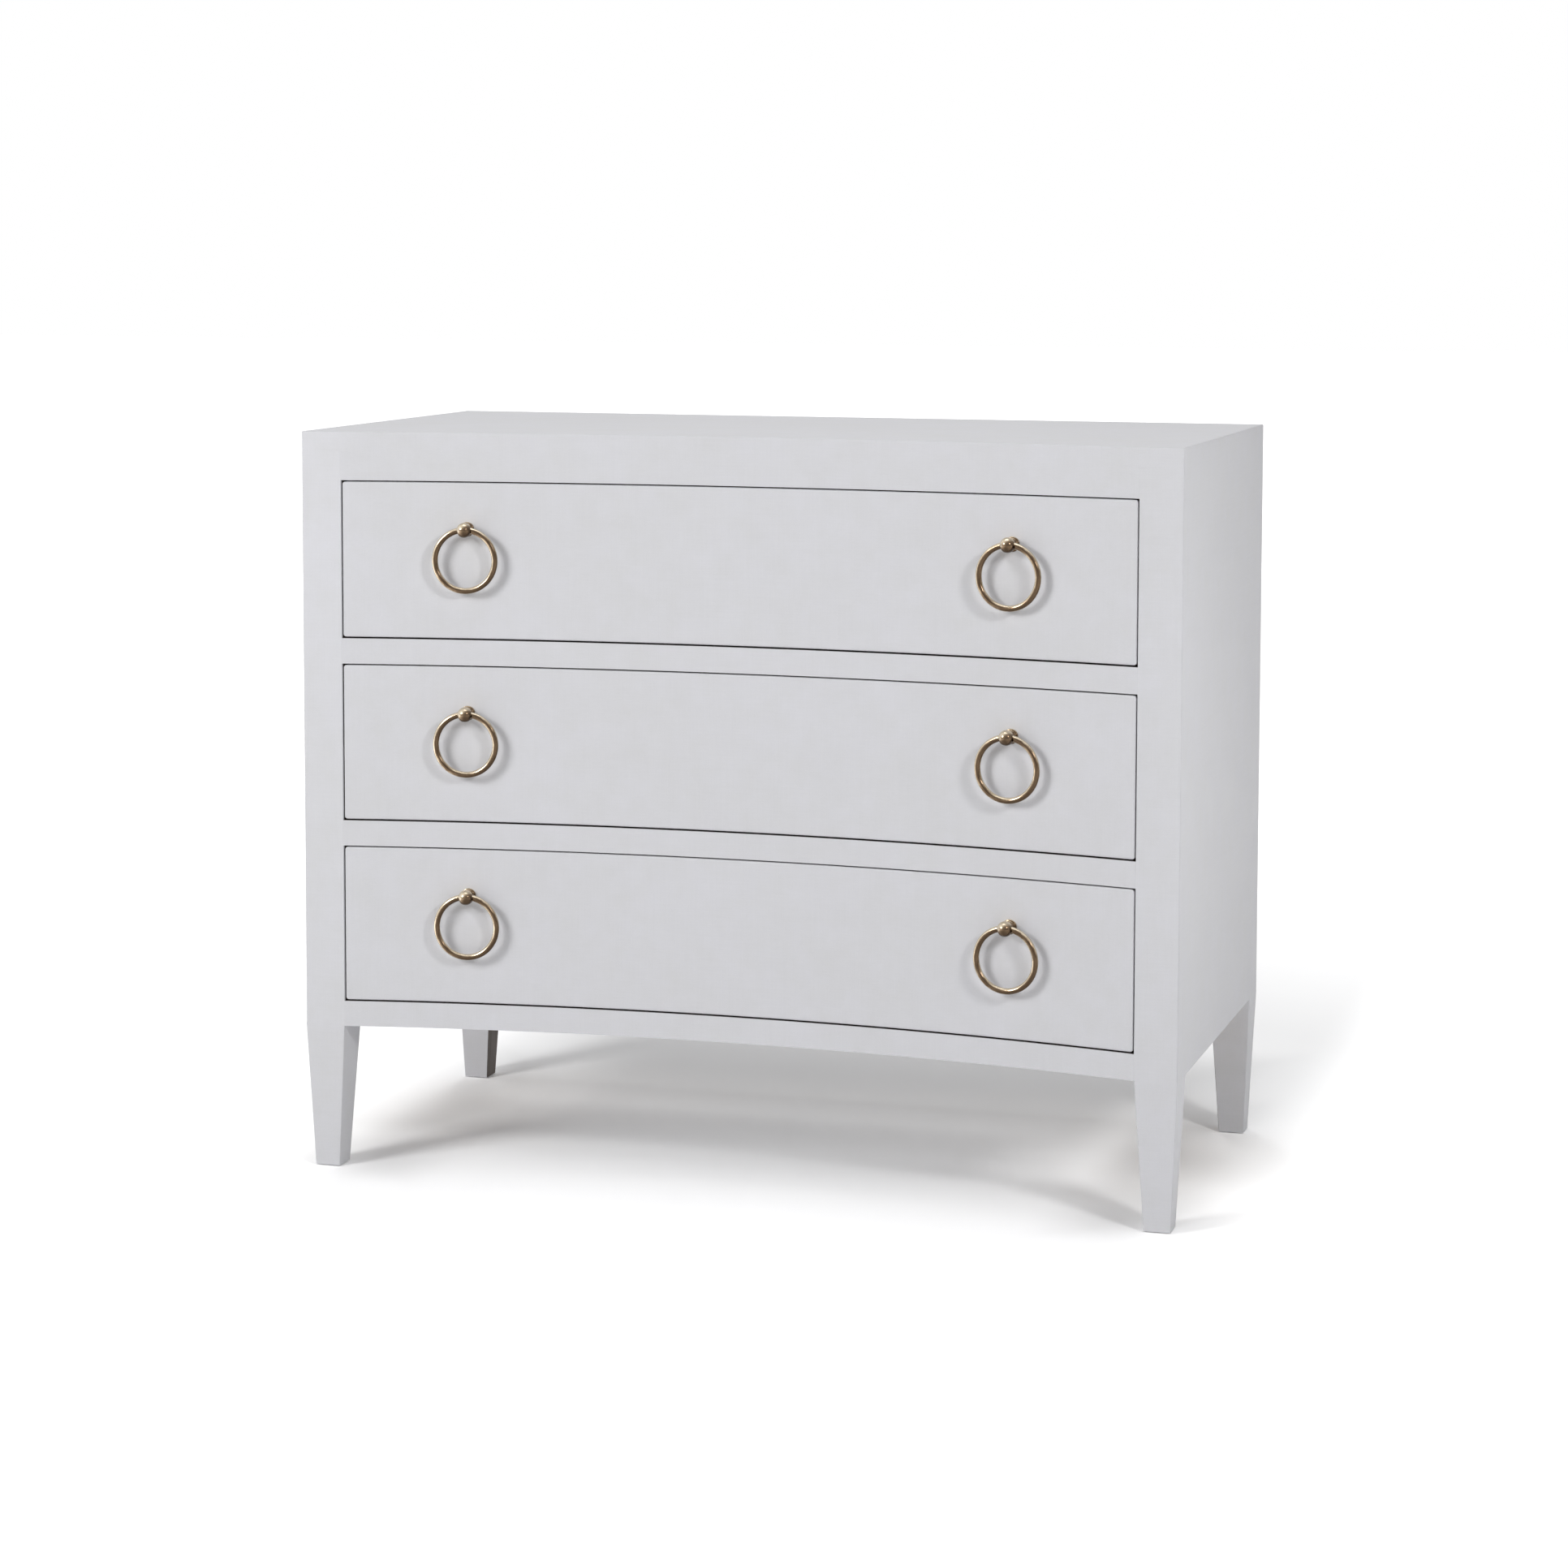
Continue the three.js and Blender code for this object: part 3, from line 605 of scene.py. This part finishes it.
def mount_profile():
    top = SEAT_GAP + FLANGE_THICKNESS
    rim = FLANGE_RADIUS - UPPER_EASE
    lower_ease_centre = (FLANGE_RADIUS - LOWER_EASE, SEAT_GAP + LOWER_EASE)
    bead_centre = (NECK_RADIUS + BEAD_STANDS_OUT - BEAD_RADIUS, BEAD_HEIGHT)
    return [
        (0, SEAT_GAP),
        (SEAT_RADIUS, SEAT_GAP),
        *rounded(lower_ease_centre, LOWER_EASE, -60, 0, 4),
        *rounded((rim, top - UPPER_EASE), UPPER_EASE, 0, 90, 8),
        *rounded((rim, top + COVE_RADIUS), COVE_RADIUS, 265, 185, 6),
        *rounded(bead_centre, BEAD_RADIUS, -50, 50, 6),
        (NECK_RADIUS, NECK_HEIGHT),
        *rounded((0, BALL_REACH), BALL_RADIUS, -45, 90, 40)[:-1],
        (0, BALL_REACH + BALL_RADIUS),
    ]


def cross_drill():
    """A tool for the hole that the ring goes through, along the mount's X."""
    profile = [
        (0, -DRILL_END),
        (HOLE_RADIUS + HOLE_FLARE, -DRILL_END),
        (HOLE_RADIUS, -FLARE_START),
        (HOLE_RADIUS, FLARE_START),
        (HOLE_RADIUS + HOLE_FLARE, DRILL_END),
        (0, DRILL_END),
    ]
    matrix = Matrix.Translation((0, 0, RING_REACH)) @ Matrix.Rotation(math.pi / 2, 4, "Y")
    return add_object("drill", turned("drill", profile, DRILL_STEPS), matrix)


def mount_mesh():
    blank = turned("pull_mount", mount_profile(), MOUNT_STEPS)
    return finished(cut_away(blank, [cross_drill()]), MOUNT_BRASS)


# The ring, about its own Z
RING_STEPS, WIRE_STEPS = 160, 32


def ring_mesh():
    shape = bmesh.new()
    rows = []
    for a in round_turn(RING_STEPS):
        row = []
        for b in round_turn(WIRE_STEPS):
            reach = RING_RADIUS + WIRE_RADIUS * math.cos(b)
            row.append(shape.verts.new((reach * math.cos(a), reach * math.sin(a), WIRE_RADIUS * math.sin(b))))
        rows.append(row)
    for i, near in enumerate(rows):
        far = rows[(i + 1) % RING_STEPS]
        for j in range(WIRE_STEPS):
            k = (j + 1) % WIRE_STEPS
            shape.faces.new((near[j], far[j], far[k], near[k]))
    bmesh.ops.recalc_face_normals(shape, faces=shape.faces)
    return finished(to_mesh(shape, "pull_ring"), RING_BRASS)


# Screws and washers: a screw's rim and the bars of its recess are shares of its head
PULL_SCREW_RADIUS, PULL_SCREW_HEIGHT = 0.0042, 0.0026
BACK_SCREW_RADIUS, BACK_SCREW_HEIGHT = 0.0034, 0.0016
RIM_SHARE = 0.35
BAR_LENGTH_SHARE, BAR_WIDTH_SHARE, BAR_HEIGHT_SHARE = 1.15, 0.2, 1.1
SCREW_STEPS = 32
WASHER_RADIUS, WASHER_THICKNESS, WASHER_EASE = 0.0060, 0.0010, 0.0003
WASHER_STEPS = 48


def recess_bar(radius, height, turn):
    """One bar of the cross-shaped recess in a screw's head."""
    shape = bmesh.new()
    bmesh.ops.create_cube(shape, size=1)
    size = (radius * BAR_LENGTH_SHARE, radius * BAR_WIDTH_SHARE, height * BAR_HEIGHT_SHARE, 1)
    matrix = Matrix.Translation((0, 0, height)) @ Matrix.Rotation(turn, 4, "Z") @ Matrix.Diagonal(size)
    return add_object("bar", to_mesh(shape, "bar"), matrix)


def screw_mesh(name, radius, height):
    """A pan head with a cross recess, its seat on Z = 0."""
    rim = height * RIM_SHARE
    profile = [(0, 0), (radius, 0), (radius, rim)]
    for angle in (15, 30, 45, 60, 75):
        a = math.radians(angle)
        profile.append((radius * math.cos(a), rim + (height - rim) * math.sin(a)))
    profile.append((0, height))
    bars = [recess_bar(radius, height, turn) for turn in (0, math.pi / 2)]
    return finished(cut_away(turned(name, profile, SCREW_STEPS), bars), STEEL)


def washer_mesh():
    ease_centre = (WASHER_RADIUS - WASHER_EASE, WASHER_THICKNESS - WASHER_EASE)
    edge = rounded(ease_centre, WASHER_EASE, 0, 90, 4)
    profile = [(0, 0), (WASHER_RADIUS, 0), *edge, (0, WASHER_THICKNESS)]
    return finished(turned("washer", profile, WASHER_STEPS), STEEL)


mount_shape = mount_mesh()
ring_shape = ring_mesh()
pull_screw_shape = screw_mesh("pull_screw", PULL_SCREW_RADIUS, PULL_SCREW_HEIGHT)
pull_washer_shape = washer_mesh()
back_screw_shape = screw_mesh("back_screw", BACK_SCREW_RADIUS, BACK_SCREW_HEIGHT)


def place(mesh, name, body, slot, matrix):
    """A piece that rides on a body, with the material that its mesh already has. The slot is not used."""
    obj = add_object(name, mesh, matrix)
    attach(obj, body)
    return obj


# The pulls, each with a washer and a screw behind the drawer front
WASHER_GAP = 0.0001
TURNED_BACK = Matrix.Rotation(math.pi, 4, "Y")


def pull_frame(level, side_name, side):
    """The frame of a pull: origin on the drawer front, Z out of it, and Y up."""
    _, front_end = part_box(f"{level}_drawer_front")
    low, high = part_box(f"{level}_{side_name}_pull_mount")
    sine = side * front_end.x * PULL_SPREAD_SHARE / FRONT_RADIUS
    cosine = math.sqrt(1 - sine * sine)
    outward = Vector((-sine, -cosine, 0))
    up = Vector((0, 0, 1))
    turn = Matrix((up.cross(outward), up, outward)).transposed().to_4x4()
    origin = Vector((FRONT_RADIUS * sine, CURVE_CENTRE_Y + FRONT_RADIUS * cosine, (low.z + high.z) / 2))
    return Matrix.Translation(origin) @ turn


for level in LEVELS:
    drawer = f"{level}_drawer"
    for side_name, side in SIDES:
        pull = f"{level}_{side_name}"
        base = pull_frame(level, side_name, side)
        mount = place(mount_shape, f"{pull}_knob", drawer, "aged_brass", base)
        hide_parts(f"{pull}_pull_mount")
        hang = base @ Matrix.Translation((0, -RING_RADIUS, RING_REACH))
        ring = place(ring_shape, f"{pull}_hoop", f"{pull}_ring", "aged_brass", hang)
        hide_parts(f"{pull}_pull_ring")
        inner = base @ Matrix.Translation((0, 0, -FRONT_THICKNESS - WASHER_GAP)) @ TURNED_BACK
        place(pull_washer_shape, f"{pull}_washer", drawer, "aged_brass", inner)
        head = inner @ Matrix.Translation((0, 0, WASHER_THICKNESS))
        place(pull_screw_shape, f"{pull}_pull_screw", drawer, "aged_brass", head)


# The screws that hold the back panel in its rabbets: up both sides, then along both ends
SCREW_FROM_SIDE = 0.004
SCREW_FROM_CORNER = 0.045
SCREW_FROM_END = 0.03
SCREWS_UP, SCREWS_ACROSS = 5, 5


def back_screw_places():
    low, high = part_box("back_panel")
    heights = evenly(low.z + SCREW_FROM_CORNER, high.z - SCREW_FROM_CORNER, SCREWS_UP)
    places = [(x, z) for x in (low.x + SCREW_FROM_SIDE, high.x - SCREW_FROM_SIDE) for z in heights]
    ends = (low.z + SCREW_FROM_END, high.z - SCREW_FROM_END)
    places += [(x, z) for x in evenly(low.x, high.x, SCREWS_ACROSS + 2)[1:-1] for z in ends]
    return [(x, high.y, z) for x, z in places]


for number, spot in enumerate(back_screw_places(), 1):
    matrix = Matrix.Translation(spot) @ Matrix.Rotation(-math.pi / 2, 4, "X")
    place(back_screw_shape, f"back_screw_{number}", "case", "painted_back", matrix)


# Floor: brighter to the camera than to the dresser, as paint and by a glow of its own
FLOOR_REACH = 30
FLOOR_TONES = (grey(0.84), grey(0.86))
FLOOR_BRIGHTENING = grey(1.48)

# How strong the glow is in each part of the floor
GLOW_UNDER, GLOW_BESIDE_FOOT = 0.17, 0.15
GLOW_BEFORE, GLOW_AROUND, GLOW_BEYOND, GLOW_FAR = 0.15, 0.25, 0.32, 0.60

# The soft edges of each part, in metres from the middle of the dresser: in depth, sideways, all round
UNDER_STARTS, UNDER_ENDS = (-0.10, 0.10), (0.12, 0.40)
BEFORE_ENDS = (-0.20, -0.06)
AHEAD_ENDS = (-0.32, -0.23)
PAST_BACK_STARTS = (0.25, 0.42)
BEHIND_STARTS = (0.46, 0.70)
BETWEEN_ENDS = (0.33, 0.43)
PAST_FEET_STARTS = (0.36, 0.54)
BESIDE_STARTS = (0.43, 0.54)
BEYOND_STARTS = (0.50, 0.63)
FAR_START, FAR_END = 0.9, 2.3

# The light between the case's shadow and that of the front right foot
PATCH_LEFT, PATCH_RIGHT = (0.20, 0.32), (0.33, 0.42)
PATCH_FRONT, PATCH_BACK = (-0.13, -0.05), (0.04, 0.17)


def floor_glow(n, place):
    """The glow, which keeps the shadow's tones near the photograph's and whitens the floor round them."""
    x, y, _ = n.split(place)
    sideways = n.math("ABSOLUTE", x)
    under = n.math("MULTIPLY", n.rise(y, UNDER_STARTS, GLOW_UNDER), n.fall(y, UNDER_ENDS))
    before = n.fall(y, BEFORE_ENDS, GLOW_BEFORE)
    below = n.math("MULTIPLY", n.math("ADD", under, before), n.fall(sideways, BETWEEN_ENDS))
    front = n.math("MAXIMUM", below, n.fall(y, AHEAD_ENDS, GLOW_BEFORE))
    patch_x = n.math("MULTIPLY", n.rise(x, PATCH_LEFT, GLOW_BESIDE_FOOT), n.fall(x, PATCH_RIGHT))
    patch_y = n.math("MULTIPLY", n.rise(y, PATCH_FRONT), n.fall(y, PATCH_BACK))
    patch = n.math("MULTIPLY", patch_x, patch_y)
    past_feet = n.rise(sideways, PAST_FEET_STARTS, GLOW_AROUND)
    corner = n.math("MULTIPLY", past_feet, n.rise(y, PAST_BACK_STARTS))
    beside = n.rise(sideways, BESIDE_STARTS, GLOW_AROUND)
    behind = n.rise(y, BEHIND_STARTS, GLOW_AROUND)
    around = n.chain("MAXIMUM", beside, behind, corner)
    beyond = n.rise(sideways, BEYOND_STARTS, GLOW_BEYOND)
    far = n.spread(n.reach(x, y), 0, GLOW_FAR, FAR_START, FAR_END)
    return n.chain("ADD", front, patch, around, beyond, far)


def floor_material():
    n = Nodes("floor")
    n.tree.nodes.remove(n.shader)
    seen = n.seen_ray()
    place = n.own_place()
    paint = n.tones(n.noise(place, scale=3, detail=2), FLOOR_TONES)
    bright = n.mix(1.0, paint, FLOOR_BRIGHTENING, "MULTIPLY")
    diffuse = n.add("ShaderNodeBsdfDiffuse", {"Color": n.mix(seen, paint, bright)})
    strength = n.math("MULTIPLY", seen, floor_glow(n, place))
    glow = n.add("ShaderNodeEmission", {"Strength": strength})
    both = n.add("ShaderNodeAddShader", {0: diffuse.outputs[0], 1: glow.outputs[0]})
    n.put(both.outputs[0], n.output.inputs["Surface"])
    return n.material


def make_floor():
    shape = bmesh.new()
    bmesh.ops.create_grid(shape, x_segments=1, y_segments=1, size=FLOOR_REACH)
    floor = add_object("floor", to_mesh(shape, "floor"))
    floor.data.materials.append(floor_material())


# World: white where it is seen, and dim where it lights things
AMBIENT_LIGHT = (0.208, 0.208, 0.211)
WHITE_BACKDROP = grey(1.0)


class WorldNodes(Nodes):
    """The world's node tree, with the same short calls."""

    def __init__(self, name):
        self.world = bpy.data.worlds.new(name)
        self.world.use_nodes = True
        self.tree = self.world.node_tree
        self.background = self.tree.nodes["Background"]


def make_world():
    n = WorldNodes("studio")
    n.put(n.mix(n.seen_ray(), AMBIENT_LIGHT, WHITE_BACKDROP), n.background.inputs["Color"])
    scene.world = n.world


# Lamps: square ones, aimed at a place inside the case. Their distances and sizes are in metres.
LAMP_AIM = Vector((0, -0.1, 0.45))


def make_light(name, direction, distance, size, power, mirrored=True):
    data = bpy.data.lights.new(name, "AREA")
    data.shape = "SQUARE"
    data.size = size
    data.energy = power
    away = Vector(direction).normalized()
    turn = away.to_track_quat("Z", "Y").to_matrix().to_4x4()
    light = add_object(name, data, Matrix.Translation(LAMP_AIM + away * distance) @ turn)
    light.visible_camera = False
    light.visible_glossy = mirrored


make_camera()
make_floor()
make_world()
make_light("key", (-0.62, -0.79, 0.43), distance=3.4, size=0.85, power=43.0)
make_light("fill", (0.79, -0.62, 0.50), distance=3.4, size=0.45, power=25.2)
make_light("overhead", (0, 0, 1), distance=2.8, size=1.6, power=13.4)
make_light("side", (1.0, -0.3, 0.15), distance=1.055, size=0.5, power=0.5)
make_light("rear", (-0.3, 1, 0.9), distance=3.4, size=0.8, power=12, mirrored=False)
scene.view_settings.view_transform = "Standard"
